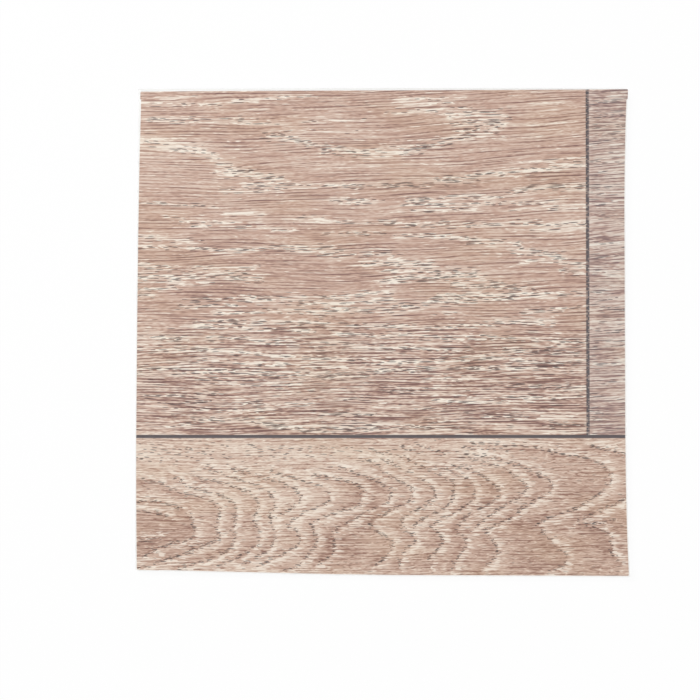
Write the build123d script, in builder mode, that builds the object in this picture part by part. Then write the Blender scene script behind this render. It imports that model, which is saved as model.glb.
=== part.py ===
from build123d import *
import os

# A square sample of wood-effect cushioned vinyl flooring, cut by hand from the roll.
#
# The sheet is one laminated piece, lying flat with its printed face up. Two pressed plank joints
# cross that face: a long joint that runs with the grain from cut to cut, and an end joint that
# meets it in a T. The knife wandered a little along each cut. It leaned on the far and left cuts,
# so there the printed face stops short of the bottom edge, and the white body shows beyond it.
#
# The origin is under the middle of the sheet, on the surface that it lies on. +X runs with the
# printed grain, +Y across it towards the far cut, and +Z up out of the printed face. Millimetres.

# The rectangle that the sheet was marked out to, and how thick the flooring is.
marked_length = 200.0
marked_width = 197.4
sheet_thickness = 2.8

# How far each corner of the bottom face was cut inside those marks, along X and along Y.
far_left_inset = (1.55, 0.3)
far_right_inset = (0.9, 0.2)
near_right_inset = (0.0, 0.0)
near_left_inset = (0.25, 2.65)

# How far each cut strays outwards from the straight line between its corners, at a quarter, a
# half and three quarters of its run. The far and near cuts are read from the left, and the left
# and right cuts from the far end.
far_cut_stray = (0.25, 0.3, 0.25)
near_cut_stray = (0.65, 0.9, 0.6)
left_cut_stray = (0.2, 0.3, 0.35)
right_cut_stray = (-1.2, -1.15, -1.2)

# How far the leaning knife set the printed face back from the bottom edge, at the start, the
# quarters and the end of the same runs. The other two cuts stand square.
far_cut_lean = (1.3, 1.25, 1.15, 0.95, 0.45)
left_cut_lean = (0.9, 0.35, 0.15, 0.15, 0.4)

# Handling has softened the upright edges at the four corners.
corner_round = 0.4

# The pressed joints between the printed planks: shallow troughs with a round bottom.
joint_width = 1.2
joint_depth = 0.22
long_joint_setback = 56.7  # from the near mark to the middle of the long joint
end_joint_setback = 17.0  # from the right mark to the middle of the end joint, at the T
end_joint_skew = 0.15  # degrees off square, with the far end turned to the left

# Places that follow from those sizes.
half_length = marked_length / 2
half_width = marked_width / 2
long_joint_y = long_joint_setback - half_width
end_joint_x = half_length - end_joint_setback
trough_radius = (joint_width**2 / 4 + joint_depth**2) / (2 * joint_depth)
trough_overrun = joint_width  # how far the long trough starts and ends outside the sheet

far_left = Vector(far_left_inset[0] - half_length, half_width - far_left_inset[1])
far_right = Vector(half_length - far_right_inset[0], half_width - far_right_inset[1])
near_right = Vector(half_length - near_right_inset[0], near_right_inset[1] - half_width)
near_left = Vector(near_left_inset[0] - half_length, near_left_inset[1] - half_width)


def cut_line(start, end, outwards, stray):
    """The five points that a cut passes through, from one corner of the sheet to the next."""
    run = end - start
    quarters = [start + run * (step + 1) / 4 for step in range(3)]
    strayed = [point + outwards * amount for point, amount in zip(quarters, stray)]
    return [start, *strayed, end]


def set_back(cut, inwards, lean):
    """The same cut on the printed face, where the leaning knife came in."""
    return [point + inwards * amount for point, amount in zip(cut, lean)]


far_cut = cut_line(far_left, far_right, Vector(0, 1), far_cut_stray)
near_cut = cut_line(near_left, near_right, Vector(0, -1), near_cut_stray)
left_cut = cut_line(far_left, near_left, Vector(-1, 0), left_cut_stray)
right_cut = cut_line(far_right, near_right, Vector(1, 0), right_cut_stray)

# The printed face's own cuts. Both leaning cuts share the far left corner, so it steps in twice.
printed_far_cut = set_back(far_cut, Vector(0, -1), far_cut_lean)
printed_left_cut = set_back(left_cut, Vector(1, 0), left_cut_lean)
printed_far_left = far_left + Vector(left_cut_lean[0], -far_cut_lean[0])
printed_far_cut[0] = printed_far_left
printed_left_cut[0] = printed_far_left
printed_right_cut = [printed_far_cut[-1], *right_cut[1:]]
printed_near_cut = [printed_left_cut[-1], *near_cut[1:]]

# Each trough is swept straight from a plane across it, with that plane's Y axis pointing up.
long_joint_start = Plane(
    origin=(-half_length - trough_overrun, long_joint_y, sheet_thickness),
    x_dir=(0, 1, 0),
    z_dir=(1, 0, 0),
)
end_joint_start = Plane(
    origin=(end_joint_x, long_joint_y, sheet_thickness),
    x_dir=(-1, 0, 0),
    z_dir=(0, 1, 0),
).rotated((0, end_joint_skew, 0))

with BuildPart() as vinyl_sheet:
    with BuildSketch(Plane.XY):
        with BuildLine():
            for cut in (far_cut, right_cut, near_cut, left_cut):
                Spline(*cut)
        make_face()
    with BuildSketch(Plane.XY.offset(sheet_thickness)):
        with BuildLine():
            for cut in (printed_far_cut, printed_right_cut, printed_near_cut, printed_left_cut):
                Spline(*cut)
        make_face()
    loft(ruled=True)

    upright_edges = vinyl_sheet.edges().group_by(Axis.Z)[1]
    fillet(upright_edges, corner_round)

    with BuildSketch(long_joint_start):
        with Locations((0, trough_radius - joint_depth)):
            Circle(trough_radius)
    extrude(amount=marked_length + 2 * trough_overrun, mode=Mode.SUBTRACT)

    # This one starts in the long trough and is long enough to run out through the far cut.
    with BuildSketch(end_joint_start):
        with Locations((0, trough_radius - joint_depth)):
            Circle(trough_radius)
    extrude(amount=marked_width, mode=Mode.SUBTRACT)

# The cuts stray past the marks, so the middle of the finished sheet is brought to the origin.
sheet_middle = vinyl_sheet.part.bounding_box(optimal=True).center()
vinyl_sheet.part.move(Location((-sheet_middle.X, -sheet_middle.Y, 0)))

os.makedirs("parts", exist_ok=True)
vinyl_sheet.part.label = "vinyl_sheet"
export_step(vinyl_sheet.part, "parts/vinyl_sheet.step")

finished = vinyl_sheet.part.bounding_box(optimal=True)
print("vinyl_sheet", finished.min, finished.max, "volume", vinyl_sheet.part.volume)
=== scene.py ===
import math

import bmesh
import bpy
import numpy as np
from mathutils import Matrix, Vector, kdtree, noise


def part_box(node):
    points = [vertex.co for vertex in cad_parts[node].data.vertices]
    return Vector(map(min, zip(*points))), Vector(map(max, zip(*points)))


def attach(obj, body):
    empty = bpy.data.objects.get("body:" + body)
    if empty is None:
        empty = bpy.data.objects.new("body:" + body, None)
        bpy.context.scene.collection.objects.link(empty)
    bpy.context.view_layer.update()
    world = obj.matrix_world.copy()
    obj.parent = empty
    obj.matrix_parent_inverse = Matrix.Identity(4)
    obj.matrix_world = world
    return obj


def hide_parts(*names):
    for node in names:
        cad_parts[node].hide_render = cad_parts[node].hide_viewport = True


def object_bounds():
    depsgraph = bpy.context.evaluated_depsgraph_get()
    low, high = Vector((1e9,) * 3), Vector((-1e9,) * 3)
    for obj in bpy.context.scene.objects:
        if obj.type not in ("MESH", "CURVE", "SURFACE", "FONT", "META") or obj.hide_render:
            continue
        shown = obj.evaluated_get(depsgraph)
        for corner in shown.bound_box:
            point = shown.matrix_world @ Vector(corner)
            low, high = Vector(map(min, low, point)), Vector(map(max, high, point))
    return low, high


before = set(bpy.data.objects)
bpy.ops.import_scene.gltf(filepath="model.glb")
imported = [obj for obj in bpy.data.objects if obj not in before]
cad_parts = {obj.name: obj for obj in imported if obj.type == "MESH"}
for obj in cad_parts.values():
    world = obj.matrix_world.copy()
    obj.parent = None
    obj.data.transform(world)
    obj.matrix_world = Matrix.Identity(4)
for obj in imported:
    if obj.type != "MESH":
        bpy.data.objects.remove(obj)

# Cushioned vinyl flooring, a hand-cut sample lying flat. The CAD sheet gives the outline, the
# slanted cuts and the two pressed joints. Here it gets its embossed, printed face, its foam cuts
# and its backing.

MM = 0.001

# The middles of the two pressed joints, as the CAD source has them, in millimetres.
LONG_JOINT_Y = -42.03
END_JOINT_X = 82.93  # at the T, from where it leans to the left
END_JOINT_SKEW = math.radians(0.15)

# The printed face is cut into a grid fine enough to carry the embossing and the figure, in
# millimetres. The rings of the lower plank turn across the grain, so it needs closer columns than
# the long fibres above it.
ROW_STEP = 0.48
UPPER_COLUMN_STEP = 1.6
LOWER_COLUMN_STEP = 0.58

# Grain figure of the upper plank: limed bands, read off the sheet, in millimetres. Each
# has its half width, how much lime and how many open pores it holds, and the points it follows.
UPPER_FIGURE = [
    (0.8, 0.7, 0.2, [(-92, 94.5), (-84, 94.3), (-74, 94.6)]),
    (0.9, 0.9, 0.3, [(-97, 92), (-85, 91.7), (-75, 91.8), (-64, 92)]),
    (0.8, 1.0, 0.3, [(-60, 93), (-52, 93.5), (-45, 94.3), (-38, 94.9), (-30, 95.5)]),
    (0.9, 0.7, 0.6, [(-95, 86), (-85, 85.8), (-75, 86), (-62, 86.2), (-52, 86)]),
    (0.8, 0.7, 0.3, [(-88, 84.8), (-75, 84.6), (-66, 84.8), (-56, 84.4), (-42, 84), (-36, 83.6)]),
    (2.4, 1.0, 0.5, [(-99, 77.5), (-90, 76.5), (-83, 75), (-75, 73.5)]),
    (2.0, 1.0, 0.5, [(-75, 73), (-69, 71.5), (-66, 68.5), (-62, 66)]),
    (1.2, 1.0, 0.2, [(-67, 64.3), (-60, 63.5)]),
    (2.0, 0.8, 0.9, [(-60, 65), (-52, 63.6), (-45, 62), (-40, 61)]),
    (1.2, 0.9, 0.7, [(-56, 59.5), (-46, 59.3), (-35, 58.8)]),
    (0.8, 0.8, 0.5, [(-65, 56.8), (-55, 57), (-45, 57.2)]),
    (0.6, 0.5, 0.7, [(-98, 52.3), (-85, 52), (-77, 51.4), (-66, 50.2)]),
    (1.0, 1.0, 0.2, [(-63, 48), (-55, 47.8), (-48, 47.5)]),
    (0.6, 0.9, 0.3, [(-88, 46.5), (-83, 46), (-78, 45.2)]),
    (0.8, 0.9, 0.3, [(-82, 44.5), (-75, 44.5), (-68, 44.4), (-58, 43.8)]),
    (0.9, 0.9, 0.3, [(-75, 42.8), (-65, 42.9), (-58, 42.4), (-50, 41.6), (-42, 41.4), (-36, 41)]),
    (1.5, 0.8, 0.3, [(-99, 38.5), (-90, 37.8), (-84, 37), (-74, 35.8)]),
    (0.8, 0.8, 0.7, [(-98, 34.5), (-85, 34.2), (-75, 33.8), (-65, 33.2), (-55, 33.4), (-38, 34.8)]),
    (0.5, 0.9, 0.2, [(-68, 31.8), (-60, 32), (-52, 32.6)]),
    (1.2, 0.8, 0.2, [(5, 93), (12, 94), (18, 94.3), (24, 94), (32, 94.5)]),
    (0.7, 0.9, 0.2, [(8, 91.2), (14, 91.7), (20, 92.3), (28, 92.8)]),
    (1.0, 0.8, 0.4, [(2, 88.8), (10, 89), (18, 89), (26, 90), (34, 90.3)]),
    (0.5, 0.9, 0.2, [(-33, 84.6), (-20, 85.3), (-12, 85.6), (-3, 86.2)]),
    (0.7, 0.7, 0.3, [(-40, 81.5), (-30, 81.5), (-20, 81), (-10, 81)]),
    (1.6, 0.8, 0.9, [(-46, 79.5), (-38, 78.6), (-32, 76.8), (-27, 75.2), (-22, 74), (-15, 73)]),
    (1.6, 1.0, 0.9, [(-15, 73), (-8, 72.3), (0, 72.3), (8, 72.8), (15, 74), (20, 75.5), (26, 77)]),
    (0.5, 1.0, 0.2, [(0, 74.8), (8, 75), (13, 75.3)]),
    (1.4, 1.0, 0.7, [(26, 77.3), (34, 78.5), (40, 79.7), (44, 81.2), (48, 83.5), (50, 85)]),
    (1.3, 0.8, 0.9, [(32, 81), (38, 82.3), (44, 84), (49, 86)]),
    (1.5, 1.0, 0.6, [(30, 84.6), (38, 85), (44, 86.3), (48, 87)]),
    (1.5, 1.0, 0.5, [(26, 87), (33, 87.8), (40, 88.3), (46, 88)]),
    (0.5, 0.6, 0.0, [(-34, 66.8), (-20, 66.3), (-12, 66.8), (0, 67.4), (12, 67.6)]),
    (0.5, 0.6, 0.0, [(40, 77.8), (55, 79), (65, 79.5), (78, 80.6)]),
    (0.5, 0.6, 0.0, [(48, 83), (62, 84), (76, 84.6)]),
    (0.5, 0.5, 0.0, [(48, 90.8), (60, 92), (72, 92.8)]),
    (1.1, 0.8, 0.7, [(-38, 59), (-32, 58.8), (-25, 58.9), (-20, 59.5), (-15, 58.8), (-9, 58.8)]),
    (0.9, 0.5, 1.0, [(-6, 59.2), (0, 59.7), (5, 59), (12, 59.2), (20, 59.5), (26, 60)]),
    (1.4, 0.9, 0.6, [(-20, 53), (-14, 53.2), (-8, 52.8), (-2, 52.8)]),
    (1.1, 1.0, 0.7, [(10, 53.8), (16, 53.8), (24, 53.8), (32, 54.6), (38, 54.8), (46, 54)]),
    (1.2, 0.9, 0.7, [(9, 51.5), (16, 52), (24, 51.5), (32, 51.5), (38, 51.6), (45, 51.6)]),
    (0.6, 0.9, 0.4, [(13, 49), (20, 49), (30, 49.3), (38, 49.8)]),
    (0.8, 0.8, 0.4, [(-40, 46), (-30, 46.2), (-24, 46)]),
    (0.8, 0.9, 0.3, [(-37, 44.8), (-28, 44.5), (-20, 44.6), (-14, 44.3), (-5, 44.3)]),
    (1.2, 0.8, 0.7, [(0, 44.5), (8, 44), (14, 43.5), (20, 44), (28, 43.7), (38, 43)]),
    (0.8, 0.7, 0.7, [(-24, 40), (-18, 39.8), (-10, 39.8), (0, 39.8)]),
    (1.1, 1.0, 0.6, [(5, 38.7), (12, 39), (22, 38.8), (27, 39), (32, 38), (36, 37)]),
    (1.4, 0.9, 0.6, [(-40, 34), (-34, 34), (-28, 33), (-22, 33.5), (-15, 33)]),
    (1.2, 0.8, 0.7, [(-25, 31.2), (-18, 30.8), (-10, 31.5), (-2, 32.2), (4, 31.6)]),
    (1.3, 0.7, 1.0, [(22, 61.3), (30, 61.6), (36, 62.5), (42, 64)]),
    (1.5, 1.0, 0.6, [(42, 64), (48, 64.8), (54, 65), (62, 65.5), (70, 66.5), (76, 67.5), (83, 69)]),
    (0.7, 0.8, 0.1, [(52, 68.8), (60, 69), (68, 69.3), (76, 70), (82, 70.2)]),
    (0.6, 1.0, 0.1, [(45, 62.8), (54, 63.3)]),
    (1.3, 0.8, 0.9, [(52, 56.8), (58, 57.8), (64, 58.5), (70, 58.8), (76, 58.8), (82, 58.8)]),
    (0.9, 0.7, 0.6, [(50, 52), (58, 52.2), (66, 52.5), (74, 53)]),
    (1.0, 1.0, 0.3, [(66, 51), (72, 50.5), (80, 51), (83, 50.8)]),
    (0.6, 0.8, 0.2, [(50, 49), (58, 50), (66, 49.3), (74, 49.5)]),
    (1.1, 1.0, 0.7, [(38, 43), (44, 43.2), (50, 43.8), (56, 44), (62, 43.5), (70, 43.5), (82, 43.8)]),
    (0.8, 0.9, 0.2, [(60, 41.5), (68, 41.3), (76, 41.8), (82, 42)]),
    (1.4, 1.0, 0.7, [(36, 37), (42, 36.3), (48, 35.8), (54, 35), (58, 33.5), (63, 32.5)]),
    (1.5, 1.0, 0.7, [(63, 32.5), (67, 31), (72, 29.5), (76, 28), (83, 26.5)]),
    (1.0, 0.8, 0.6, [(54, 31.5), (60, 32), (66, 31.5)]),
    (0.9, 0.9, 0.3, [(56, 28.5), (66, 29), (74, 27.5)]),
    (1.0, 0.5, 0.9, [(72, 25), (78, 24), (83, 23.5)]),
    (1.3, 0.9, 0.8, [(-98, 27.5), (-93, 26), (-85, 26.3)]),
    (1.1, 0.9, 0.6, [(-78, 25.5), (-72, 25.8), (-65, 25.5), (-58, 25.5), (-50, 26.5)]),
    (2.0, 1.0, 0.8, [(-98, 22.5), (-90, 22.7), (-84, 21.5), (-78, 22.5)]),
    (1.9, 1.0, 0.8, [(-78, 22.5), (-72, 23), (-66, 22.8), (-60, 22.8), (-54, 22.8), (-50, 22)]),
    (0.8, 0.9, 0.4, [(-98, 20), (-88, 19.8), (-80, 19.3), (-74, 19.3), (-68, 20)]),
    (1.1, 0.9, 0.9, [(-98, 17.5), (-90, 18), (-84, 18.2)]),
    (1.0, 0.8, 0.9, [(-98, 15), (-92, 15.5)]),
    (1.2, 0.5, 1.0, [(-78, 13), (-72, 13.3), (-66, 13.5), (-61, 13.5)]),
    (1.1, 0.8, 0.9, [(-81, 10.7), (-74, 10.3), (-66, 11), (-61, 11)]),
    (1.8, 1.0, 0.6, [(-55, 13.5), (-48, 13.3), (-42, 13), (-36, 14)]),
    (1.2, 1.0, 0.5, [(-68, 8.3), (-60, 8), (-50, 8.5), (-44, 8.6), (-32, 8.3), (-25, 8)]),
    (1.0, 1.0, 0.6, [(-75, 3.7), (-68, 4.2), (-60, 4), (-54, 3.8), (-48, 4.2), (-38, 4)]),
    (0.9, 0.9, 0.8, [(-82, 2), (-75, 1.8), (-66, 2), (-60, 2.3), (-54, 1.5), (-48, 1.5), (-28, 0.8)]),
    (1.0, 0.9, 0.6, [(-92, -2), (-84, -2.6), (-78, -2.8)]),
    (1.1, 1.0, 0.7, [(-70, -2), (-64, -2), (-58, -2.5), (-52, -3.7), (-46, -4), (-36, -4)]),
    (0.9, 1.0, 0.6, [(-98, -6.8), (-88, -7.2), (-80, -7), (-70, -7.3), (-62, -7.4), (-56, -8.3)]),
    (0.8, 1.0, 0.2, [(-56, -8.4), (-48, -9.2), (-38, -9.8)]),
    (0.9, 0.9, 0.4, [(-75, -11.5), (-68, -11.5), (-62, -12), (-55, -12.7), (-45, -13), (-36, -13)]),
    (1.1, 0.8, 0.8, [(-98, -14.5), (-90, -14.6), (-82, -15), (-78, -15.5), (-72, -15.8)]),
    (1.1, 0.9, 0.8, [(-72, -15.8), (-65, -15.6), (-58, -16), (-50, -16.3), (-45, -17), (-30, -17.5)]),
    (0.6, 0.4, 0.9, [(-75, -19), (-65, -19), (-55, -19.5), (-45, -19.5)]),
    (0.8, 0.9, 0.2, [(-66, -21), (-55, -21.3), (-45, -20.8), (-30, -21.5)]),
    (0.6, 0.3, 1.0, [(-98, -26), (-88, -25.7), (-80, -25.3), (-70, -24.8), (-63, -24.5)]),
    (0.7, 0.4, 1.0, [(-90, -29), (-84, -28.7), (-78, -28), (-70, -28)]),
    (0.9, 1.0, 0.4, [(-60, -28.5), (-50, -28.5), (-42, -28.3), (-34, -28.6), (-26, -29)]),
    (0.7, 0.6, 0.8, [(-78, -31), (-70, -31), (-62, -31.2), (-58, -30.8)]),
    (0.8, 0.9, 0.2, [(-62, -32), (-52, -32), (-45, -31.5)]),
    (1.1, 0.7, 0.8, [(-86, -38), (-80, -36.8), (-72, -35.4), (-62, -34.8), (-54, -34.7)]),
    (1.4, 0.7, 0.9, [(-52, -35.2), (-47, -37), (-42, -38.3), (-30, -39.2), (-18, -39.2), (-4, -38.4)]),
    (1.9, 1.0, 0.5, [(-6, 27.3), (2, 28.3), (8, 28), (14, 27.5), (20, 26.8)]),
    (1.3, 0.8, 0.6, [(1, 25), (8, 24.6), (16, 24.8), (24, 24)]),
    (1.6, 1.0, 0.7, [(2, 21.3), (8, 22), (14, 22.5), (20, 21.5), (26, 22.3)]),
    (0.6, 1.0, 0.1, [(0, 20), (6, 20.1), (14, 20.4)]),
    (2.3, 1.0, 0.7, [(24, 23), (30, 23.6), (36, 23.2), (40, 21.6)]),
    (1.0, 1.0, 0.5, [(-34, 14), (-22, 13.6), (-15, 14.3), (-8, 15.2), (-2, 15.8), (4, 16.2)]),
    (1.2, 0.9, 0.6, [(-38, 11.3), (-30, 12), (-22, 11.5), (-15, 12), (-8, 12), (-3, 12.5), (4, 12.6)]),
    (1.3, 0.8, 0.9, [(-25, 8.3), (-18, 9), (-10, 9), (-3, 9.2), (3, 9)]),
    (1.1, 0.7, 0.9, [(2, 10.7), (8, 11), (14, 11), (19, 12), (26, 13.3)]),
    (0.6, 0.9, 0.4, [(5, 8.4), (10, 8.7), (15, 9)]),
    (0.9, 0.9, 0.8, [(-38, 3.9), (-30, 3.8), (-22, 3.3), (-14, 2.7), (-6, 2.8), (2, 2.3)]),
    (0.9, 0.9, 0.8, [(2, 2.3), (8, 2), (16, 1.7), (24, 1.4), (32, 2.6), (38, 3), (46, 3)]),
    (1.0, 0.9, 0.6, [(-20, -0.4), (-10, -0.9), (-3, -1.5), (4, -1.2), (10, -0.8), (15, -1.6)]),
    (1.1, 0.9, 0.7, [(15, -1.8), (20, -2.3), (28, -2.5), (34, -2), (42, -1.8), (50, -2.3)]),
    (1.1, 1.0, 0.7, [(50, -2.3), (56, -3), (62, -3.3), (68, -3.8), (74, -3.7), (82, -3.6)]),
    (1.0, 0.9, 0.8, [(-36, -4.3), (-30, -4.7), (-24, -5), (-16, -5), (-10, -5.8), (-3, -6)]),
    (1.1, 0.8, 0.8, [(-3, -6), (4, -6.4), (10, -6.5), (17, -6.8), (24, -6.6), (36, -6.6)]),
    (1.1, 1.0, 0.5, [(-33, -10.5), (-26, -11), (-20, -11), (-12, -11.3), (-5, -11.2), (2, -11.5)]),
    (1.1, 0.9, 0.8, [(2, -11.6), (10, -12), (16, -11.5), (24, -11.2), (38, -11), (46, -10.8)]),
    (0.9, 1.0, 0.1, [(-36, -13.2), (-30, -13.8), (-22, -14), (-15, -14)]),
    (1.1, 0.5, 1.0, [(-30, -17.5), (-22, -17.3), (-15, -17), (-8, -17.3), (-3, -16.5)]),
    (1.1, 0.8, 1.0, [(-3, -16), (0, -15.5), (6, -15.3), (12, -15.8), (18, -14.8), (26, -14.8)]),
    (0.7, 0.4, 0.9, [(2, -24), (8, -23.8), (14, -23.5), (20, -22.5), (27, -21.8)]),
    (0.9, 0.8, 0.8, [(-28, -32.5), (-20, -33), (-12, -33.5), (-4, -33)]),
    (0.9, 0.6, 0.8, [(-4, -38.4), (3, -38.3), (10, -38), (20, -38.5), (30, -38.6)]),
    (1.5, 0.9, 0.9, [(30, 19.5), (36, 18.4), (46, 18.8), (52, 18), (58, 17), (64, 15.8)]),
    (0.9, 0.9, 0.6, [(64, 15.8), (72, 15.5), (82, 15.8)]),
    (1.6, 1.0, 0.8, [(22, 14.8), (28, 14), (34, 14.6), (42, 14.5), (48, 13.8), (54, 13.8)]),
    (1.1, 0.9, 0.7, [(24, 12), (30, 12.3), (38, 12.5)]),
    (0.8, 0.9, 0.2, [(54, 13.8), (62, 14), (72, 14.3)]),
    (0.7, 0.8, 0.2, [(22, 8), (30, 8)]),
    (1.0, 0.8, 0.5, [(56, 8.3), (66, 9), (74, 9.6), (83, 10.5)]),
    (2.3, 1.0, 0.2, [(58, 4), (63, 4), (68, 4.6)]),
    (1.0, 0.8, 0.7, [(46, 3.6), (52, 3.8), (58, 3.7)]),
    (1.2, 0.6, 1.0, [(48, -6.8), (56, -7.5), (64, -7.5), (70, -8), (78, -8.2)]),
    (0.9, 0.7, 0.8, [(50, -11.2), (58, -11.8), (66, -12.5), (74, -12), (82, -11.4)]),
    (0.8, 0.5, 1.0, [(26, -14.6), (38, -14.2), (46, -14.5), (54, -14.4), (62, -13.8), (72, -14)]),
    (0.9, 1.0, 0.1, [(24, -18.8), (30, -18.7), (37, -18.4)]),
    (0.9, 0.5, 1.0, [(46, -20.6), (54, -21), (60, -21.5), (72, -23), (82, -23.5)]),
    (1.0, 1.0, 0.4, [(22, -27), (28, -28), (36, -28.3), (44, -27.5), (52, -27), (60, -27.5)]),
    (0.8, 1.0, 0.1, [(64, -34.3), (72, -34.2), (79, -34)]),
    (0.8, 1.0, 0.1, [(20, -36.3), (26, -35.8), (32, -35.2)]),
    (0.9, 0.8, 0.7, [(40, -34), (50, -34.2), (58, -34.3)]),
    (0.7, 0.9, 0.1, [(15, -19), (21, -18.8)]),
    (0.7, 1.0, 0.1, [(-39, -21.6), (-33, -21.8)]),
    (0.7, 1.0, 0.1, [(-3, -28.5), (4, -28.5)]),
    (0.7, 1.0, 0.1, [(42, -15.4), (47, -15.5)]),
    (0.7, 1.0, 0.1, [(29, -26), (36, -26.2)]),
    (0.6, 0.8, 0.2, [(-30, -23.2), (-15, -23.5)]),
    (0.7, 0.9, 0.2, [(60, -22), (82, -21.8)]),
    (0.7, 0.9, 0.4, [(50, -26), (64, -26.5), (80, -25.8)]),
    (0.6, 0.1, 1.0, [(-14, -26.8), (-4, -26.2)]),
    (0.6, 0.2, 1.0, [(14, -30.8), (21, -30.6)]),
    (0.7, 0.7, 0.8, [(66, -37.8), (70, -37.3), (82, -37.6)]),
    (0.7, 0.9, 0.2, [(-82, -37.8), (-76, -37.3)]),
    (0.6, 0.8, 0.0, [(65, -40.3), (82, -40.4)]),
]

# Grain figure of the right strip.
STRIP_FIGURE = [
    (0.7, 0.2, 1.0, [(84, 92.5), (90, 93), (98, 94)]),
    (0.8, 0.9, 0.2, [(90, 95), (98, 95.6)]),
    (1.0, 0.1, 0.8, [(88, 87), (98, 88)]),
    (0.7, 0.2, 1.0, [(86, 82.5), (92, 83), (98, 84)]),
    (0.7, 0.8, 0.2, [(84, 80.5), (90, 80), (98, 81.5)]),
    (0.6, 0.3, 1.0, [(86, 77.5), (92, 77.8), (98, 78.6)]),
    (0.6, 0.9, 0.3, [(84, 75.4), (92, 75.8), (98, 76)]),
    (0.7, 0.9, 0.2, [(88, 70), (98, 71.6)]),
    (0.6, 0.3, 0.9, [(84, 68), (98, 68.6)]),
    (0.7, 0.9, 0.3, [(89, 64.5), (98, 64.3)]),
    (0.6, 0.2, 1.0, [(84, 59), (98, 58.7)]),
    (0.8, 0.9, 0.3, [(85, 56.3), (98, 57)]),
    (0.8, 0.9, 0.2, [(89, 52.3), (94, 53), (98, 53)]),
    (0.6, 0.3, 0.9, [(84, 51), (92, 51.6)]),
    (0.8, 0.8, 0.2, [(84, 35.5), (92, 36), (98, 36.2)]),
    (0.6, 0.2, 1.0, [(84, 30.2), (98, 30.8)]),
    (1.3, 1.0, 0.1, [(84, 24.8), (90, 24), (97, 22.6)]),
    (1.1, 1.0, 0.3, [(84, 16.5), (92, 16.3)]),
    (0.6, 0.3, 1.0, [(86, 12.7), (94, 13.6)]),
    (0.9, 0.5, 1.0, [(84, 10.7), (90, 10.1), (97, 8.6)]),
    (0.7, 0.8, 0.6, [(84, 4.8), (98, 4.3)]),
    (0.6, 0.2, 1.0, [(84, 0.9), (96, 0.5)]),
    (0.6, 0.5, 0.8, [(84, -3.6), (98, -3.3)]),
    (0.6, 0.3, 1.0, [(84, -5.8), (98, -5.2)]),
    (1.2, 0.9, 0.4, [(85, -12.5), (92, -13), (98, -12)]),
    (0.6, 0.2, 1.0, [(84, -19.8), (98, -19.5)]),
    (1.0, 0.9, 0.2, [(84, -26), (92, -26.8), (97, -27)]),
    (1.0, 0.3, 0.9, [(84, -31.5), (89, -33), (86, -35.5)]),
]

# Short streaks of the lower plank that lie off its rings.
LOWER_FIGURE = [
    (0.5, 0.0, 1.4, [(-70, -85.5), (-77, -86.8)]),
    (0.5, 0.0, 1.4, [(-76, -88.7), (-88, -91.5), (-92, -93.3)]),
    (0.5, 0.0, 1.2, [(-65, -83.5), (-70, -84.8)]),
    (0.5, 0.0, 1.2, [(-81, -84), (-91, -86.8)]),
    (0.5, 0.0, 1.2, [(80, -77), (88, -77), (93, -75.5)]),
    (0.6, 0.0, 0.8, [(-5, -47), (2, -49), (8, -50)]),
    (0.6, 0.0, 0.8, [(8, -46), (12, -48)]),
    (0.6, 0.0, 0.8, [(15, -46), (20, -47.5), (25, -49)]),
    (0.6, 0.0, 0.8, [(0, -51), (4, -52.5)]),
    (3.5, 0.2, 0.22, [(-98, -48.5), (-30, -48.5)]),
    (2.5, 0.1, 0.15, [(-30, -48), (60, -46)]),
]

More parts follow.
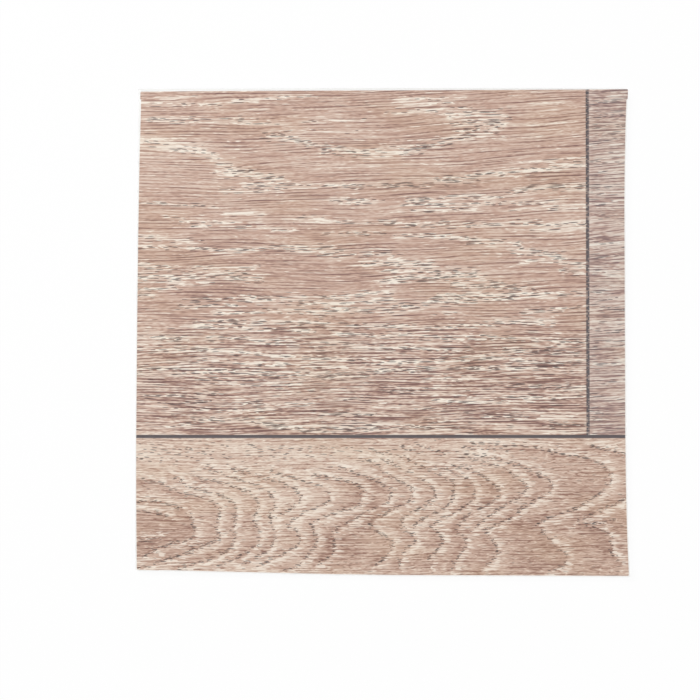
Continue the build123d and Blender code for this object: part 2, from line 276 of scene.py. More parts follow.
# Cathedral figure of the lower plank. Each ring runs from its upper arm round the tip to its
# lower arm, so its outer side is on the left of the way it runs.
RINGS = [
    [(-99, -71.6), (-93, -72.3), (-90, -73), (-86, -74.8)],
    [(-97, -84.3), (-93, -83.6), (-90, -82.8)],
    [(-99, -68.2), (-94, -67.9), (-88, -69.2), (-83, -70), (-80, -71.7), (-78, -73.5), (-76.7, -76),
     (-76.3, -79), (-75.6, -81.8), (-77, -83.4), (-81, -84.3), (-85, -85), (-90, -87), (-95, -89.8),
     (-99, -91)],
    [(-97, -59.2), (-90, -60.8), (-85, -63), (-80, -64.7), (-76, -66), (-72, -66.8), (-69, -67.8),
     (-66.5, -70), (-65.6, -72), (-66.4, -75), (-66.8, -79), (-65.6, -82), (-68, -84.3), (-72, -86),
     (-76, -87.2), (-79, -89), (-84, -90.8), (-88, -91.7), (-92, -93.5), (-98, -95)],
    [(-85, -57.9), (-82, -59), (-79, -61.8), (-74, -63.6), (-68, -64.8), (-65, -66), (-62, -67.5),
     (-60, -68.8), (-59, -71), (-59.5, -74), (-59.8, -77), (-60.3, -79.5), (-59.3, -82),
     (-59.8, -84.5), (-61.5, -87), (-65, -89.5), (-69, -91.5), (-75, -93), (-82, -95.2)],
    [(-75, -58), (-72, -59.4), (-66, -60.4), (-60, -62.3), (-55, -64.2), (-52, -65.8), (-50.5, -68),
     (-50.2, -70.5), (-51, -73), (-52.5, -75.5), (-51, -78.5), (-50, -80), (-50.4, -83.5),
     (-51, -86), (-55, -89), (-60, -91.5), (-66, -94)],
    [(-71, -54.4), (-66, -56.6), (-62, -58), (-57, -59.8), (-53, -61.2), (-48, -63.2), (-45, -66),
     (-43.2, -68), (-43.5, -70.5), (-45.5, -73), (-45, -76), (-44, -79), (-43.4, -82),
     (-44.4, -85.5), (-47, -88.5), (-51, -90.8), (-57, -93.6)],
    [(-61, -55), (-55, -56.4), (-49, -58.2), (-45, -59.2), (-41, -60.8), (-38, -62), (-35, -63.5),
     (-33, -65.8), (-33.3, -68.5), (-36, -71), (-41, -73.6), (-43.6, -75)],
    [(-45, -56), (-42, -57.2), (-37, -58.4), (-33, -59.6), (-30.5, -60.6), (-28, -61.3), (-25, -61.8),
     (-22.5, -62.7), (-21.3, -64.6), (-21.5, -67), (-22.8, -69.2), (-26, -70.2), (-29, -71.6),
     (-32, -73), (-36, -75.6), (-38.2, -77.6), (-35.5, -79.8), (-33.4, -82), (-33, -84.6),
     (-35.6, -87), (-38.6, -88.6), (-44, -91.2), (-50, -94)],
    [(-28, -57.6), (-24, -58), (-20, -58.7), (-16.5, -59.5), (-12, -60.8), (-9, -62.5), (-8, -64.5),
     (-8.5, -67), (-9.5, -69.5), (-13, -71), (-18, -72.3), (-21, -73.8), (-25, -74.8),
     (-28.6, -77.6), (-27.6, -81), (-26.2, -84), (-27.6, -87), (-30.8, -90.6), (-33.4, -93.4),
     (-39, -96)],
    [(-20, -53.8), (-16, -55), (-10, -57), (-6, -58.4), (-2, -60), (1.4, -62), (3.6, -64),
     (3, -66.2), (2.4, -68), (-2, -70.6), (-6, -72), (-10, -74.6), (-15, -77.6), (-19, -79.4),
     (-20, -82), (-19.4, -85), (-20, -88), (-22.4, -91.4), (-26, -93.8)],
    [(-7, -51.4), (-2, -53.2), (0, -55.6), (2, -57.6), (5, -59.4), (8, -60.2), (11, -62),
     (12, -64.5), (12, -67), (10, -68.6), (6, -70.6), (2, -72.6), (-3, -75.2), (-5.6, -77.6),
     (-3, -79.6), (-0.6, -81.2), (2.4, -83), (4.4, -84.6), (3.4, -87.6), (1.4, -90.6), (-3, -94)],
    [(0, -51.4), (5, -53.6), (9, -56), (13.5, -58), (16, -59.5), (19, -61.5), (21, -63.6),
     (21, -66.5), (19, -68.6), (15, -71), (11, -73), (7.4, -75.4), (7.6, -78), (10, -80.4),
     (12.6, -82), (13.4, -84.2), (10.4, -86.6), (8.6, -88.6), (6.4, -91.6), (7, -94)],
    [(10, -51), (14, -53.4), (20, -56), (24, -58), (28, -60), (29, -62.6), (28.4, -65.4),
     (27.8, -68), (25, -71), (20, -73.4), (15, -75.6), (12.6, -78.4)],
    [(21, -53.6), (26, -55.4), (30, -57), (34, -59), (37, -62.4), (37.4, -65.2), (36, -68),
     (33, -70.4), (28, -73), (23, -75.6), (19.6, -78.8), (22.6, -81), (24.6, -84), (22, -87.6),
     (19.4, -90.6), (19, -93.8)],
    [(28, -54), (32, -54.4), (36, -55.2), (39, -57), (42, -59.4), (45, -61), (47.4, -63.6),
     (47, -66), (44, -68.2), (41.4, -70), (38, -72), (34, -74.6), (30.6, -77.4), (30, -80.6),
     (33.4, -83), (34, -86), (31.4, -89), (29.4, -92), (28.4, -95)],
    [(32, -50.6), (39, -51.8), (45, -53.6), (49, -55), (52, -57), (55.6, -59), (58, -61.6),
     (57.4, -64), (55, -66.5), (51, -69), (47, -71.2), (43, -74), (39, -77), (36, -80)],
    [(30, -49.8), (37, -49.6), (43, -50.3), (48, -51.3), (53, -53), (57, -54.4), (60, -56),
     (63, -57.5), (67, -59.5), (68.5, -61.5), (67.5, -63.8), (65, -65.8), (61, -68.3), (56, -71),
     (52, -74.5), (46, -77.2), (41.6, -79.8), (43, -82.6), (45.4, -85.6), (47, -88.6),
     (45, -91.4), (41.6, -94.4)],
    [(36, -45), (47, -45.2), (56, -46), (63, -46.8), (68, -48.3), (74, -49.5), (79, -50.3),
     (85, -51.5), (89, -53), (91.5, -55.5), (92, -58), (91.5, -60.4), (90, -62.6), (87.5, -65),
     (83, -68), (78, -71), (72, -73.2), (66, -75), (62.6, -77.6), (64.6, -80.4), (67, -83),
     (70, -86), (73, -88.4), (74.6, -91), (73.4, -93.6), (68, -96.4)],
    [(84, -45.6), (93, -48), (98, -49)],
    [(98, -67), (93, -69.6), (86, -73), (79, -76), (84, -78.4), (90, -80.4), (92.4, -84),
     (92, -88), (95, -92)],
]

# Soft patches where the wood shows browner, or lighter where the amount is below zero. Each has its
# middle, half its length, half its width and the amount.
BARE_PATCHES = [
    # The upper plank, from the far cut to the long joint.
    (-46, 92, 12, 4, 0.4), (62, 90, 12, 6, -0.45), (22, 92, 16, 4, 0.6), (-15, 82, 10, 4, -0.6),
    (-75, 82, 9, 4, 0.5), (0, 75, 10, 4, 0.4), (70, 76, 18, 12, 0.2), (-58, 73, 9, 4, 0.5),
    (-92, 72, 14, 6, -0.8), (30, 72, 10, 4, -0.6), (-5, 66, 26, 4, -0.4), (-80, 65, 20, 25, -0.3),
    (30, 61, 8, 4, 0.3), (60, 52, 12, 5, -0.3), (-60, 42, 10, 4, 0.6), (68, 42, 14, 5, -0.6),
    (-68, 32, 16, 6, 0.6), (30, 32, 10, 4, -0.4), (60, 31, 9, 4, 0.4), (-84, 22, 16, 5, 0.9),
    (-20, 23, 22, 6, 0.4), (76, 22, 10, 5, 0.7), (45, 22, 10, 5, -0.7), (-60, 12, 12, 6, 1.1),
    (-28, 12, 9, 5, 0.4), (78, 12, 8, 5, 0.4), (-38, 2, 14, 5, 0.45), (-76, 2, 10, 4, -0.7),
    (22, 2, 12, 5, 0.5), (-45, -10, 10, 7, 0.5), (60, -8, 19, 6, 0.9), (-52, -18, 14, 6, 0.8),
    (-90, -18, 9, 5, -0.4), (-14, -24, 10, 9, -0.5), (60, -22, 35, 18, 0.15),
    (-90, -27, 9, 4, -0.7), (0, -28, 9, 4, 0.4), (62, -28, 9, 4, 0.4), (-9, -38, 20, 3, -1.5),
    (38, -38, 20, 3, -0.6), (74, -39, 10, 1.4, 0.5), (-65, -38.8, 17, 1.6, 0.2),
    # Thin brown lines of the upper plank.
    (69, -16.8, 14, 0.7, 0.9), (-89, -19.8, 10, 0.7, 0.9), (52, -30, 28, 0.8, 0.9),
    (-91, -32.3, 7, 0.8, 0.8), (47, -32.5, 13, 0.7, 0.7), (-80, -34.1, 18, 0.7, 0.8),
    # The right strip.
    (95.5, 48, 5, 50, -0.7), (90, 25, 8, 90, -0.5), (91, 5, 8, 8, -0.5), (96, -38, 4, 4, -0.8),
    (95, 85, 6, 9, 0.5), (90, 22, 9, 4, 0.4),
    # The lower plank, from the long joint to the near cut.
    (-94, -49, 12, 5, -0.9), (-50, -48, 55, 7, -1.0), (30, -47, 45, 5, -0.6),
    (-35, -54, 10, 4, 0.6), (40, -53, 7, 4, -0.6), (70, -50, 12, 4, 0.4), (-62, -63, 12, 6, -0.6),
    (-33, -68, 15, 12, -1.2), (18, -67, 12, 9, -0.8), (90, -60, 8, 7, -0.6), (81, -61, 11, 7, 0.6),
    (-8, -62, 8, 6, 0.5), (-60, -75, 40, 18, -0.3), (-56, -78, 8, 4, 0.4), (-8, -74, 8, 8, 0.7),
    (40, -70, 7, 5, 0.6), (28, -78, 7, 4, 0.4), (52, -77, 9, 4, 0.5), (89, -77, 10, 5, 1.2),
    (-88, -80, 14, 6, 0.7), (-90, -85, 14, 9, 0.5), (-20, -84, 9, 7, 1.1), (16, -86, 8, 6, -0.4),
    (76, -84, 8, 5, 0.5), (60, -87, 9, 11, 0.8), (34, -89, 9, 4, 0.5), (52, -90, 5, 4, -0.5),
    (90, -87, 10, 10, 0.6), (88, -89, 8, 5, 0.4), (70, -95, 24, 3, 0.5), (-12, -89, 10, 5, 0.6),
]


def node(tree, kind, inputs=(), **settings):
    """Adds a node with its settings, and fills its sockets with numbers or links."""
    added = tree.nodes.new("ShaderNode" + kind)
    for name, value in settings.items():
        setattr(added, name, value)
    for socket, value in dict(inputs).items():
        if isinstance(value, bpy.types.NodeSocket):
            tree.links.new(value, added.inputs[socket])
        else:
            added.inputs[socket].default_value = value
    return added


def colour(hex_text):
    """An sRGB hex colour as linear red, green, blue and alpha."""
    parts = [int(hex_text[i:i + 2], 16) / 255 for i in (1, 3, 5)]
    linear = [p / 12.92 if p <= 0.04045 else ((p + 0.055) / 1.055) ** 2.4 for p in parts]
    return (*linear, 1.0)


# The shape of the sheet, and its three material slots.

PRINTED, CUT_SIDE, BACKING = 0, 1, 2


def sliced(bm, faces, axis, places):
    """Cuts faces across one axis at rising places, and only passes on what lies beyond each cut."""
    done, beyond = [], list(faces)
    for place in places:
        edges = {edge for face in beyond for edge in face.edges}
        corners = {vert for face in beyond for vert in face.verts}
        spot, along = Vector(), Vector()
        spot[axis] = place
        along[axis] = 1
        cut = bmesh.ops.bisect_plane(
            bm, geom=[*corners, *edges, *beyond], dist=1e-7, plane_co=spot, plane_no=along,
        )
        pieces = [part for part in cut["geom"] if isinstance(part, bmesh.types.BMFace)]
        beyond = [face for face in pieces if face.calc_center_median()[axis] > place]
        done += [face for face in pieces if face.calc_center_median()[axis] <= place]
    return done + beyond


def steps(low, high, step):
    """Evenly spaced places between two ends, clear of the ends."""
    count = round((high - low) / step)
    return [low + (high - low) * (i + 0.5) / count for i in range(count)]


def cut_into_grid(bm, low, high):
    """Cuts all but the underside into rows, and each row into columns."""
    faces = [face for face in bm.faces if face.normal.z > -0.5]
    rows = sliced(bm, faces, 1, steps(low.y, high.y, ROW_STEP * MM))
    upper_rows = [face for face in rows if face.calc_center_median().y > LONG_JOINT_Y * MM]
    lower_rows = [face for face in rows if face.calc_center_median().y <= LONG_JOINT_Y * MM]
    sliced(bm, upper_rows, 0, steps(low.x, high.x, UPPER_COLUMN_STEP * MM))
    sliced(bm, lower_rows, 0, steps(low.x, high.x, LOWER_COLUMN_STEP * MM))
    bm.normal_update()


def give_slots(bm):
    """Tells the printed face, the cuts and the backing apart by the way that they point."""
    for face in bm.faces:
        if face.normal.z > 0.7:
            face.material_index = PRINTED
        elif face.normal.z < -0.7:
            face.material_index = BACKING
        else:
            face.material_index = CUT_SIDE
        face.smooth = face.material_index == PRINTED


def unwrapped(bm, low, high):
    """Lays out the sheet's UV map. The printed face fills nearly all of it, and below that come a
    row for each of the four cuts and one for the backing."""
    printed_from = 0.095
    first_cut, cut_pitch, cut_height = 0.022, 0.018, 0.014
    backing_height = 0.018
    layer = bm.loops.layers.uv.new("OFBake")
    size = high - low
    for face in bm.faces:
        normal = face.normal
        side_cut = abs(normal.x) > abs(normal.y)
        cut_row = 2 * side_cut + (normal.x > 0 if side_cut else normal.y > 0)
        for loop in face.loops:
            place = loop.vert.co - low
            along, across, up = place.x / size.x, place.y / size.y, min(1, place.z / size.z)
            if face.material_index == PRINTED:
                loop[layer].uv = (along, printed_from + (1 - printed_from) * across)
            elif face.material_index == BACKING:
                loop[layer].uv = (along, backing_height * across)
            else:
                level = first_cut + cut_pitch * cut_row + cut_height * up
                loop[layer].uv = (across if side_cut else along, level)


def embossed(x, y):
    """How high the embossing stands at a place on the printed face, all in millimetres."""
    long_ridges = noise.noise(Vector((x / 11, y / 1.5, 0.0)))
    short_ridges = noise.noise(Vector((x / 4.5, y / 1.1, 7.0)))
    return 0.028 * long_ridges + 0.018 * short_ridges


def emboss(bm):
    """Embosses the printed face, and leaves its rim level with the cuts."""
    for vert in bm.verts:
        if all(face.material_index == PRINTED for face in vert.link_faces):
            vert.co.z += embossed(vert.co.x / MM, vert.co.y / MM) * MM


def distances_from_rim(bm, low, high):
    """How far each vertex is from where the knife turned the film back, in millimetres. It did that
    along every cut but the far one, and least along the left cut."""
    farthest = 3.0
    left_cut_extra = 0.15
    rim = kdtree.KDTree(len(bm.verts))
    for vert in bm.verts:
        on_a_cut = any(face.material_index == CUT_SIDE for face in vert.link_faces)
        on_far_cut = vert.co.y >= 0.95 * high.y
        at_top = vert.co.z > 0.9 * high.z
        if on_a_cut and at_top and not on_far_cut:
            rim.insert(vert.co, vert.index)
    rim.balance()
    distances = []
    for vert in bm.verts:
        distance = rim.find(vert.co)[2] / MM
        if vert.co.x < 0.9 * low.x:
            distance += left_cut_extra
        distances.append(min(farthest, distance))
    return distances


# The figure of the wood, painted on the mesh.

def distance_to_line(points, line):
    """How far each point is from a line of straight runs, and its side: 1 for left, -1 for right."""
    nearest = np.full(len(points), 1e9)
    side = np.zeros(len(points))
    for start, end in zip(line, line[1:]):
        start, run = np.array(start), np.array(end) - np.array(start)
        share = np.clip(((points - start) @ run) / (run @ run), 0, 1)
        away = points - (start + share[:, None] * run)
        distance = np.hypot(away[:, 0], away[:, 1])
        left = np.sign(run[0] * away[:, 1] - run[1] * away[:, 0])
        closer = distance < nearest
        nearest[closer] = distance[closer]
        side[closer] = left[closer]
    return nearest, side


def bell(distance, half_width):
    """One at no distance, about a third at the half width, and next to nothing at twice that."""
    return np.exp(-((distance / half_width) ** 2))


def painted_figure(points):
    """Lime, pore and bare-wood density at each point of the printed face, in millimetres."""
    x, y = points[:, 0], points[:, 1]
    lower = y < LONG_JOINT_Y
    strip = ~lower & (x > END_JOINT_X - (y - LONG_JOINT_Y) * math.tan(END_JOINT_SKEW))
    upper = ~lower & ~strip

    # Every fibre ends a little before or after its neighbours, which feathers the bands and rings.
    fibre_length, fibre_width = 14, 0.8
    band_feather, ring_feather = 4.0, 1.2
    feather = np.array([
        noise.noise(Vector((px / fibre_length, py / fibre_width, 3.0))) for px, py in points
    ])
    feather *= np.where(lower, ring_feather, band_feather)
    points = np.stack([x + feather, y], axis=1)

    lime = np.zeros(len(points))
    pores = np.zeros(len(points))
    bare = np.zeros(len(points))
    for plank, figure in ((upper, UPPER_FIGURE), (strip, STRIP_FIGURE), (lower, LOWER_FIGURE)):
        for half_width, limed, open_pores, line in figure:
            near = bell(distance_to_line(points[plank], line)[0], half_width)
            lime[plank] = np.maximum(lime[plank], limed * near)
            pores[plank] = np.maximum(pores[plank], open_pores * near)

    # From the inner side of a ring outwards come browner wood, its row of open pores, and lime that
    # fades slowly.
    bare_middle, bare_half_width, bare_amount = -1.7, 1.5, 0.6
    pore_half_width = 0.55
    lime_middle, lime_inner_width, lime_outer_width = 1.2, 0.9, 2.2
    for ring in RINGS:
        distance, side = distance_to_line(points[lower], ring)
        outside = distance * side
        bare_near = bare_amount * bell(outside - bare_middle, bare_half_width)
        pores_near = bell(outside, pore_half_width)
        lime_width = np.where(outside > lime_middle, lime_outer_width, lime_inner_width)
        lime_near = bell(outside - lime_middle, lime_width)
        bare[lower] = np.maximum(bare[lower], bare_near)
        pores[lower] = np.maximum(pores[lower], pores_near)
        lime[lower] = np.maximum(lime[lower], lime_near)

    for middle_x, middle_y, half_length, half_width, amount in BARE_PATCHES:
        reach = ((x - middle_x) / half_length) ** 2 + ((y - middle_y) / half_width) ** 2
        same_plank = lower == (middle_y < LONG_JOINT_Y)
        bare += np.where(same_plank, amount * np.exp(-reach), 0)
    return lime, pores, bare


def vinyl_sheet():
    """The CAD sheet's copy, with all but its underside cut into a grid, embossed and painted."""
    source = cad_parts["vinyl_sheet"].data
    low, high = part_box("vinyl_sheet")
    bm = bmesh.new()
    bm.from_mesh(source)
    # The frame's triangles are joined into whole faces, so that only the grid cuts them up.
    bmesh.ops.remove_doubles(bm, verts=bm.verts, dist=1e-6)
    bmesh.ops.dissolve_limit(bm, angle_limit=math.radians(0.5), verts=bm.verts, edges=bm.edges)
    bm.normal_update()
    cut_into_grid(bm, low, high)
    give_slots(bm)
    unwrapped(bm, low, high)
    emboss(bm)
    from_rim = distances_from_rim(bm, low, high)

    mesh = bpy.data.meshes.new("vinyl_flooring_sheet")
    bm.to_mesh(mesh)
    bm.free()
    places = np.array([vert.co for vert in mesh.vertices])[:, :2] / MM
    lime, pores, bare = painted_figure(places)
    layers = {"lime": lime, "pores": pores, "bare": bare, "from_rim": np.array(from_rim)}
    for name, values in layers.items():
        layer = mesh.attributes.new(name, "FLOAT", "POINT")
        layer.data.foreach_set("value", values.astype(np.float32))
    sheet = bpy.data.objects.new("vinyl_flooring_sheet", mesh)
    bpy.context.scene.collection.objects.link(sheet)
    return sheet


# Patterns. Lengths, thicknesses and spacings are in millimetres. A layer number moves a pattern to
# another part of the noise, so that patterns of like size don't fall in the same places.

# Real fibres, pores and foam cells are thinner than a pixel of the photograph, which is 0.4 mm.
# They are drawn about as thick as a pixel, so that they show.
FIBRE = 0.42
PRESSED_LINE_PITCH = 1.2
HAIR_SPACING = 1.2


def math_of(tree, operation, *values):
    """The result of one sum on sockets and numbers."""
    return node(tree, "Math", dict(enumerate(values)), operation=operation).outputs[0]


def millimetres(tree):
    """The place on the object, in millimetres."""
    place = node(tree, "TexCoord").outputs["Object"]
    return node(tree, "VectorMath", {0: place, "Scale": 1 / MM}, operation="SCALE").outputs[0]


def painted(tree, name):
    """A value that is painted on the mesh."""
    return node(tree, "Attribute", attribute_name=name).outputs["Fac"]


def ramped(tree, value, low, high, to_low=0.0, to_high=1.0):
    """A soft step from one value to another."""
    return node(
        tree, "MapRange",
        {"Value": value, "From Min": low, "From Max": high, "To Min": to_low, "To Max": to_high},
        interpolation_type="SMOOTHSTEP",
    ).outputs[0]


def weighed(tree, start, *parts):
    """Adds up sockets, each with its weight, onto a start value."""
    total = start
    for socket, weight in parts:
        total = math_of(tree, "MULTIPLY_ADD", socket, weight, total)
    return total


def laid_over(tree, under, over, mask, strength=None):
    """One colour laid over another through a mask, which can be weakened."""
    if strength is not None:
        mask = math_of(tree, "MULTIPLY", mask, strength)
    return node(tree, "Mix", {0: mask, 6: under, 7: over}, data_type="RGBA").outputs[2]


def either(tree, mask, where_off, where_on):
    """One of two values, by a mask."""
    return node(tree, "Mix", {0: mask, 2: where_off, 3: where_on}).outputs[0]


def stretched(tree, place, length, thickness, layer):
    """Millimetres along and across the grain, as steps of the given length and thickness."""
    return node(tree, "Mapping", {
        "Vector": place,
        "Location": (layer * 17.3, layer * 5.9, 0),
        "Scale": (1 / length, 1 / thickness, 1),
    }).outputs[0]


def streaks(tree, place, length, thickness, layer):
    """Soft lens-shaped streaks along the grain, from about 0.2 to 0.8."""
    return node(
        tree, "TexNoise",
        {"Vector": stretched(tree, place, length, thickness, layer), "Scale": 1.0, "Detail": 0.0},
        noise_dimensions="2D",
    ).outputs[0]


def dashes(tree, place, length, thickness, layer, density):
    """Fine crisp dashes along the grain. Each cell draws a lot, and the density gives the share of
    the cells whose dash shows."""
    room = 1.7  # how many times the size of its dash a cell is
    cells = node(
        tree, "TexVoronoi",
        {"Vector": stretched(tree, place, length * room, thickness * room, layer), "Scale": 1.0},
        voronoi_dimensions="2D",
    )
    lot = node(tree, "SeparateColor", {0: cells.outputs["Color"]}).outputs[0]
    shows = ramped(tree, math_of(tree, "SUBTRACT", density, lot), -0.02, 0.06)
    body = ramped(tree, cells.outputs["Distance"], 0.20, 0.34, 1.0, 0.0)
    return math_of(tree, "MULTIPLY", shows, body)


def fibres(tree, place, lengths, thickness, layer, spread):
    """Fine lines of several lengths laid over one another, from -0.5 to 0.5."""
    total = 0.0
    for step, length in enumerate(lengths):
        line = streaks(tree, place, length, thickness * (1 + 0.17 * step), layer + 20 * step)
        total = weighed(tree, total, (line, 1 / len(lengths)))
    return ramped(tree, total, 0.5 - spread, 0.5 + spread, -0.5, 0.5)


def hairlines(tree, place, length, layer):
    """Long thin lines that wander, fork and join, from 0 to 1. They follow the middle values of
    a noise."""
    field = streaks(tree, place, length, HAIR_SPACING, layer)
    off_middle = math_of(tree, "ABSOLUTE", math_of(tree, "SUBTRACT", field, 0.5))
    return ramped(tree, off_middle, 0.0, 0.08, 1.0, 0.0)


def pressed_lines(tree, grain, across, layer):
    """Evenly pitched fine lines along the grain that drift, start and stop, from 0 to 1."""
    drift = streaks(tree, grain, length=45.0, thickness=4.0, layer=layer)
    phase = weighed(tree, 0.0, (across, 2 * math.pi / PRESSED_LINE_PITCH), (drift, 9.0))
    crest = ramped(tree, math_of(tree, "SINE", phase), 0.0, 1.0)
    stretches = streaks(tree, grain, length=26.0, thickness=1.6, layer=layer + 1)
    return math_of(tree, "MULTIPLY", crest, ramped(tree, stretches, 0.36, 0.62, 0.15, 1.0))


def broad_bands(tree, grain, length, thickness, layer):
    """Wide soft bands of lighter and darker wood, from -0.5 to 0.5."""
    return ramped(tree, streaks(tree, grain, length, thickness, layer), 0.30, 0.70, -0.5, 0.5)


def wood_tones(tree, value, dark, middle, light):
    """A run of three wood colours."""
    wood = node(tree, "ValToRGB", {0: value})
    ramp = wood.color_ramp
    ramp.elements[0].color = colour(dark)
    ramp.elements[1].color = colour(light)
    ramp.elements.new(0.5).color = colour(middle)
    return wood.outputs[0]


# Materials.

def new_material(name):
    """A material, its tree and its shader."""
    material = bpy.data.materials.new(name)
    material.use_nodes = True
    tree = material.node_tree
    return material, tree, tree.nodes["Principled BSDF"]


def give_finish(tree, shader, body, roughness, height, strength, depth):
    """Gives a shader its colour, roughness and fine relief, whose depth is in millimetres."""
    tree.links.new(body, shader.inputs["Base Color"])
    shader.inputs["Roughness"].default_value = roughness
    bump = node(tree, "Bump", {"Height": height, "Strength": strength, "Distance": depth * MM})
    tree.links.new(bump.outputs[0], shader.inputs["Normal"])


def straight_grain(tree, grain, across, y, strip, lime, pores, bare):
    """The upper planks: long straight fibres, limed streaks and long pore dashes."""
    # The grain grows coarser towards the long joint, and is coarse all over the right strip.
    coarse = ramped(tree, y, 12.0, -12.0, 0.33, 1.32)
    coarse = math_of(tree, "MAXIMUM", coarse, math_of(tree, "MULTIPLY", strip, 1.2))
    line = fibres(tree, grain, (60.0, 24.0, 8.0, 2.1), FIBRE, layer=1, spread=0.14)
    broad = broad_bands(tree, grain, length=60.0, thickness=8.0, layer=7)
    pressed = pressed_lines(tree, grain, across, layer=31)
    dark_hair = hairlines(tree, grain, length=55.0, layer=21)
    pale_hair = hairlines(tree, grain, length=26.0, layer=22)
    coarse_lines = weighed(
        tree, 0.0, (line, 0.34), (pressed, -0.14), (dark_hair, -0.50), (pale_hair, 0.44)
    )
    coarse_lines = math_of(tree, "MULTIPLY", coarse_lines, coarse)
    fibre = weighed(
        tree, 0.583,
        (line, 0.25), (pressed, -0.36), (coarse_lines, 1.0), (broad, 0.05), (lime, 0.28),
        (bare, -0.20),
    )
    body = wood_tones(tree, fibre, dark="#82615A", middle="#C8A695", light="#ECDCCD")

    # Lime fills the open grain in streaks, with the fibre lines showing through it.
    cream = fibres(tree, grain, (20.0, 8.0, 2.7), thickness=0.46, layer=4, spread=0.18)
    cream = weighed(
        tree, cream,
        (line, 0.20), (lime, 0.60), (coarse, 0.06), (dark_hair, -0.30), (pressed, -0.38),
    )
    body = laid_over(tree, body, colour("#F8EEE0"), ramped(tree, cream, 0.44, 0.62), 0.95)

    share = weighed(tree, 0.0, (pores, 0.85), (coarse, 0.06))
    pore_mask = math_of(
        tree, "MAXIMUM",
        dashes(tree, grain, length=5.0, thickness=0.37, layer=5, density=share),
        dashes(tree, grain, length=2.6, thickness=0.35, layer=15, density=share),
    )
    return laid_over(tree, body, colour("#544443"), pore_mask, 0.85), pore_mask, line


def cathedral_grain(tree, grain, across, lime, pores, bare):
    """The lower plank: short fibres, rings with a limed outer side, and short pore dashes on them."""
    line = fibres(tree, grain, (20.0, 7.0, 2.5, 1.0), FIBRE, layer=11, spread=0.14)
    broad = broad_bands(tree, grain, length=30.0, thickness=6.0, layer=12)
    pressed = pressed_lines(tree, grain, across, layer=51)
    dark_hair = hairlines(tree, grain, length=9.0, layer=23)
    pale_hair = hairlines(tree, grain, length=8.0, layer=24)
    fibre = weighed(
        tree, 0.58,
        (line, 0.32), (pressed, -0.38), (dark_hair, -0.30), (pale_hair, 0.30), (broad, 0.06),
        (lime, 0.10), (bare, -0.20),
    )
    body = wood_tones(tree, fibre, dark="#946F60", middle="#CDAE9C", light="#EEDFCF")

    cream = fibres(tree, grain, (7.0, 3.0), thickness=0.50, layer=14, spread=0.25)
    cream = weighed(tree, cream, (lime, 0.48), (pressed, -0.16))
    body = laid_over(tree, body, colour("#F8ECDE"), ramped(tree, cream, 0.42, 0.66), 0.75)

    share = weighed(tree, 0.03, (pores, 0.90))
    pore_mask = math_of(
        tree, "MAXIMUM",
        dashes(tree, grain, length=2.1, thickness=0.36, layer=6, density=share),
        dashes(tree, grain, length=1.5, thickness=0.34, layer=16, density=share),
    )
    return laid_over(tree, body, colour("#3F3635"), pore_mask, 0.85), pore_mask, line


def followed_grain(tree, place, x, y, lower, strip):
    """Millimetres along and across the fibres, and those across alone. The fibres wander, in the
    upper part they rise towards the right, and each is shifted along itself, so that no two end in
    one place."""
    wander = math_of(tree, "MULTIPLY", streaks(tree, place, 45.0, 16.0, layer=3), 2.4)
    from_left = math_of(tree, "ADD", x, 100.0)
    steepness = ramped(tree, y, 0.0, 60.0, 0.5e-4, 1.8e-4)
    rise = math_of(tree, "MULTIPLY", math_of(tree, "POWER", from_left, 2.0), steepness)
    across = math_of(tree, "SUBTRACT", math_of(tree, "ADD", y, wander), rise)
    # Each plank takes a far-off part of the noise, so that no fibre runs on over a joint.
    across = weighed(tree, across, (lower, 211.0), (strip, 307.0))
    shifted = math_of(tree, "MULTIPLY_ADD", streaks(tree, place, 26.0, 1.4, layer=33), 8.0, x)
    return node(tree, "CombineXYZ", {0: shifted, 1: across}).outputs[0], across


def pressed_joints(tree, grain, y, skewed, lower):
    """Where the two joints are. The end joint is broken by paler ticks, painted highlights where the
    embossed fibre lines across it catch the light, and it stops at the long joint."""
    to_long = math_of(tree, "ABSOLUTE", math_of(tree, "SUBTRACT", y, LONG_JOINT_Y))
    to_end = math_of(tree, "ABSOLUTE", math_of(tree, "SUBTRACT", skewed, END_JOINT_X))
    to_end = math_of(tree, "MULTIPLY_ADD", lower, 100.0, to_end)
    long_joint = ramped(tree, to_long, 0.45, 0.85, 1.0, 0.0)
    end_joint = ramped(tree, to_end, 0.45, 0.88, 1.0, 0.0)
    # Paler ticks across the end joint: painted highlights on the embossed fibres.
    painted_highlight_ticks = ramped(tree, streaks(tree, grain, 30.0, 0.62, layer=9), 0.54, 0.60, 1.0, 0.56)
    return math_of(tree, "MAXIMUM", long_joint, math_of(tree, "MULTIPLY", end_joint, painted_highlight_ticks))


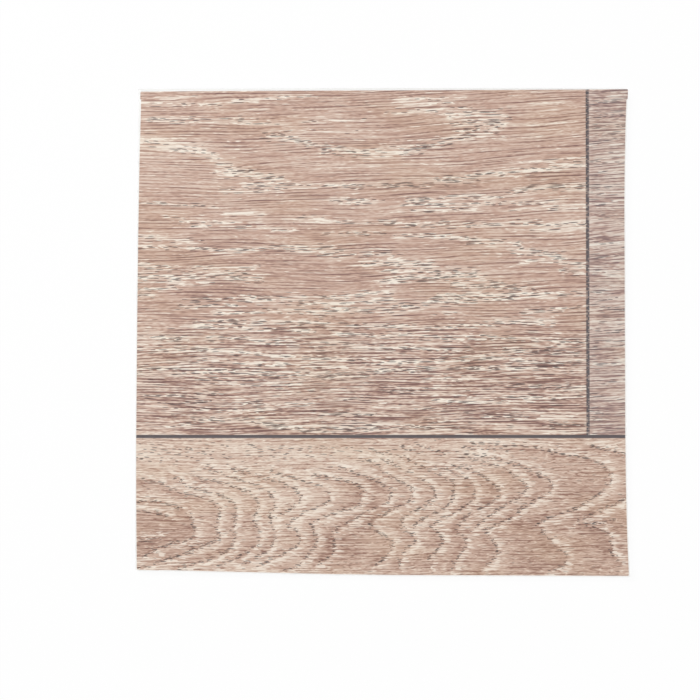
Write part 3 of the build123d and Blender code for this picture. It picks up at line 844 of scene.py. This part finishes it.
def printed_oak():
    """Clear-coated printed film, embossed. It gives the eye limed oak under a soft satin sheen."""
    material, tree, shader = new_material("printed_embossed_vinyl")
    place = millimetres(tree)
    axes = node(tree, "SeparateXYZ", {0: place})
    x, y = axes.outputs[0], axes.outputs[1]
    lower = math_of(tree, "LESS_THAN", y, LONG_JOINT_Y)
    above_joint = math_of(tree, "SUBTRACT", 1.0, lower)
    past_long_joint = math_of(tree, "SUBTRACT", y, LONG_JOINT_Y)
    # The end joint leans, and so does the distance along the sheet that it is measured by.
    skewed = math_of(tree, "MULTIPLY_ADD", past_long_joint, math.tan(END_JOINT_SKEW), x)
    right_of_joint = math_of(tree, "GREATER_THAN", skewed, END_JOINT_X)
    strip = math_of(tree, "MULTIPLY", right_of_joint, above_joint)
    lime, pores, bare = painted(tree, "lime"), painted(tree, "pores"), painted(tree, "bare")
    grain, across = followed_grain(tree, place, x, y, lower, strip)

    upper_body, upper_pores, upper_line = straight_grain(
        tree, grain, across, y, strip, lime, pores, bare
    )
    lower_body, lower_pores, lower_line = cathedral_grain(tree, grain, across, lime, pores, bare)
    body = laid_over(tree, upper_body, lower_body, lower)
    pore_mask = either(tree, lower, upper_pores, lower_pores)
    line = either(tree, lower, upper_line, lower_line)

    # The right strip is greyer, and the print is yellower in some places. The few white specks are
    # painted glints, where the embossing catches the light.
    body = laid_over(tree, body, colour("#A9A0A4"), strip, 0.2)
    yellower = ramped(tree, streaks(tree, place, 32.0, 11.0, layer=41), 0.45, 0.75, 0.0, 0.07)
    body = laid_over(tree, body, colour("#CDAA78"), yellower)
    # White specks laid over the print: painted glints.
    painted_glints = dashes(tree, grain, length=0.5, thickness=0.45, layer=25, density=0.0)
    body = laid_over(tree, body, colour("#FFFFFF"), painted_glints, 0.6)

    # The joints are printed nearly black. Where the film stops short of the cut, white foam shows.
    body = laid_over(tree, body, colour("#5F585A"), pressed_joints(tree, grain, y, skewed, lower))
    bared = ramped(tree, painted(tree, "from_rim"), 0.35, 0.65, 1.0, 0.0)
    body = laid_over(tree, body, colour("#F8F7F4"), bared)

    # The fibres stand up a little, and the pores are pits.
    height = math_of(tree, "SUBTRACT", math_of(tree, "MULTIPLY", line, 0.5), pore_mask)
    give_finish(tree, shader, body, roughness=0.5, height=height, strength=0.35, depth=0.08)
    return material


def foam_cut():
    """White PVC foam where the knife went through, with its cells cut open and painted shade in their
    hollows. Matt, chalky white.
    """
    material, tree, shader = new_material("cut_pvc_foam")
    cell_size = 0.45  # real foam cells are about 0.15 mm, and are drawn coarser to be seen
    cells = node(tree, "TexVoronoi", {"Vector": millimetres(tree), "Scale": 1 / cell_size})
    shaded_hollow = ramped(tree, cells.outputs["Distance"], 0.15, 0.55, 1.0, 0.0)
    # The hollows of the cut cells are painted greyer: painted shade in the pits.
    body = laid_over(tree, colour("#FDFDFB"), colour("#E6E3DC"), shaded_hollow, 0.25)
    height = math_of(tree, "SUBTRACT", 1.0, shaded_hollow)
    give_finish(tree, shader, body, roughness=0.8, height=height, strength=0.3, depth=0.06)
    return material


def foam_backing():
    """Calendered foam backing. It gives the eye a pale grey skin with a fine orange-peel dimple."""
    material, tree, shader = new_material("foam_backing")
    dimple_size = 1.1
    dimples = node(tree, "TexNoise", {
        "Vector": millimetres(tree), "Scale": 1 / dimple_size, "Detail": 2.0,
    }).outputs[0]
    body = laid_over(tree, colour("#DBDAD6"), colour("#C9C7C2"), ramped(tree, dimples, 0.35, 0.75))
    give_finish(tree, shader, body, roughness=0.75, height=dimples, strength=0.4, depth=0.1)
    return material


def white_table():
    """A matt white table top. The camera sees it almost plain white, so that what the sheet's
    shadow takes from it is faint."""
    material, tree, shader = new_material("white_table")
    tree.nodes.remove(shader)
    matt = node(tree, "BsdfDiffuse", {"Color": colour("#FAFAFA")})
    glow = node(tree, "Emission", {"Color": colour("#FFFFFF"), "Strength": 1.0})
    seen = math_of(tree, "MULTIPLY", node(tree, "LightPath").outputs["Is Camera Ray"], 0.92)
    mixed = node(tree, "MixShader", {0: seen, 1: matt.outputs[0], 2: glow.outputs[0]})
    tree.links.new(mixed.outputs[0], tree.nodes["Material Output"].inputs["Surface"])
    return material


# The studio, in metres.

def studio_floor():
    """The table under the sheet."""
    half_size = 3.0
    just_clear = Vector((0, 0, -0.05 * MM))
    bm = bmesh.new()
    bmesh.ops.create_grid(bm, x_segments=1, y_segments=1, size=half_size)
    bmesh.ops.translate(bm, verts=bm.verts, vec=just_clear)
    mesh = bpy.data.meshes.new("studio_floor")
    bm.to_mesh(mesh)
    bm.free()
    mesh.materials.append(white_table())
    floor = bpy.data.objects.new("studio_floor", mesh)
    bpy.context.scene.collection.objects.link(floor)


def softbox(name, place, size, power):
    """A square softbox that points at the middle of the table."""
    data = bpy.data.lights.new(name, "AREA")
    data.shape = "SQUARE"
    data.size = size
    data.energy = power
    lamp = bpy.data.objects.new(name, data)
    lamp.location = place
    lamp.rotation_euler = (-Vector(place)).to_track_quat("-Z", "Y").to_euler()
    bpy.context.scene.collection.objects.link(lamp)


def studio_light():
    """White all round, a softbox over the far left, and a weaker, larger one opposite."""
    world = bpy.data.worlds.new("studio")
    bpy.context.scene.world = world
    world.use_nodes = True
    background = world.node_tree.nodes["Background"]
    background.inputs["Color"].default_value = colour("#FFFFFF")
    background.inputs["Strength"].default_value = 0.36
    softbox("key_softbox", (-0.9, 0.7, 1.3), size=0.9, power=17.6)
    softbox("fill_softbox", (1.1, -0.6, 1.2), size=1.2, power=9.6)


def camera_above(printed_face):
    """Looks straight down at the printed face, which it shows at the photograph's scale and place."""
    picture = 700  # the photograph's width and height, in pixels
    sheet_middle = (382.5, 332.3)  # in the photograph, in pixels from its top left corner
    mm_per_pixel = 0.4033
    height = 1.2
    sensor = 36
    data = bpy.data.cameras.new("camera")
    data.sensor_width = sensor
    data.lens = sensor * (height - printed_face) / (picture * mm_per_pixel * MM)
    camera = bpy.data.objects.new("camera", data)
    x = (picture / 2 - sheet_middle[0]) * mm_per_pixel * MM
    y = (sheet_middle[1] - picture / 2) * mm_per_pixel * MM
    camera.location = (x, y, height)
    bpy.context.scene.collection.objects.link(camera)
    bpy.context.scene.camera = camera


bpy.context.view_layer.update()
cad_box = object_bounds()

sheet = vinyl_sheet()
for finish in (printed_oak(), foam_cut(), foam_backing()):
    sheet.data.materials.append(finish)
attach(sheet, "root")
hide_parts("vinyl_sheet")

studio_floor()
studio_light()
camera_above(printed_face=cad_box[1][2])
bpy.context.scene.view_settings.view_transform = "Standard"
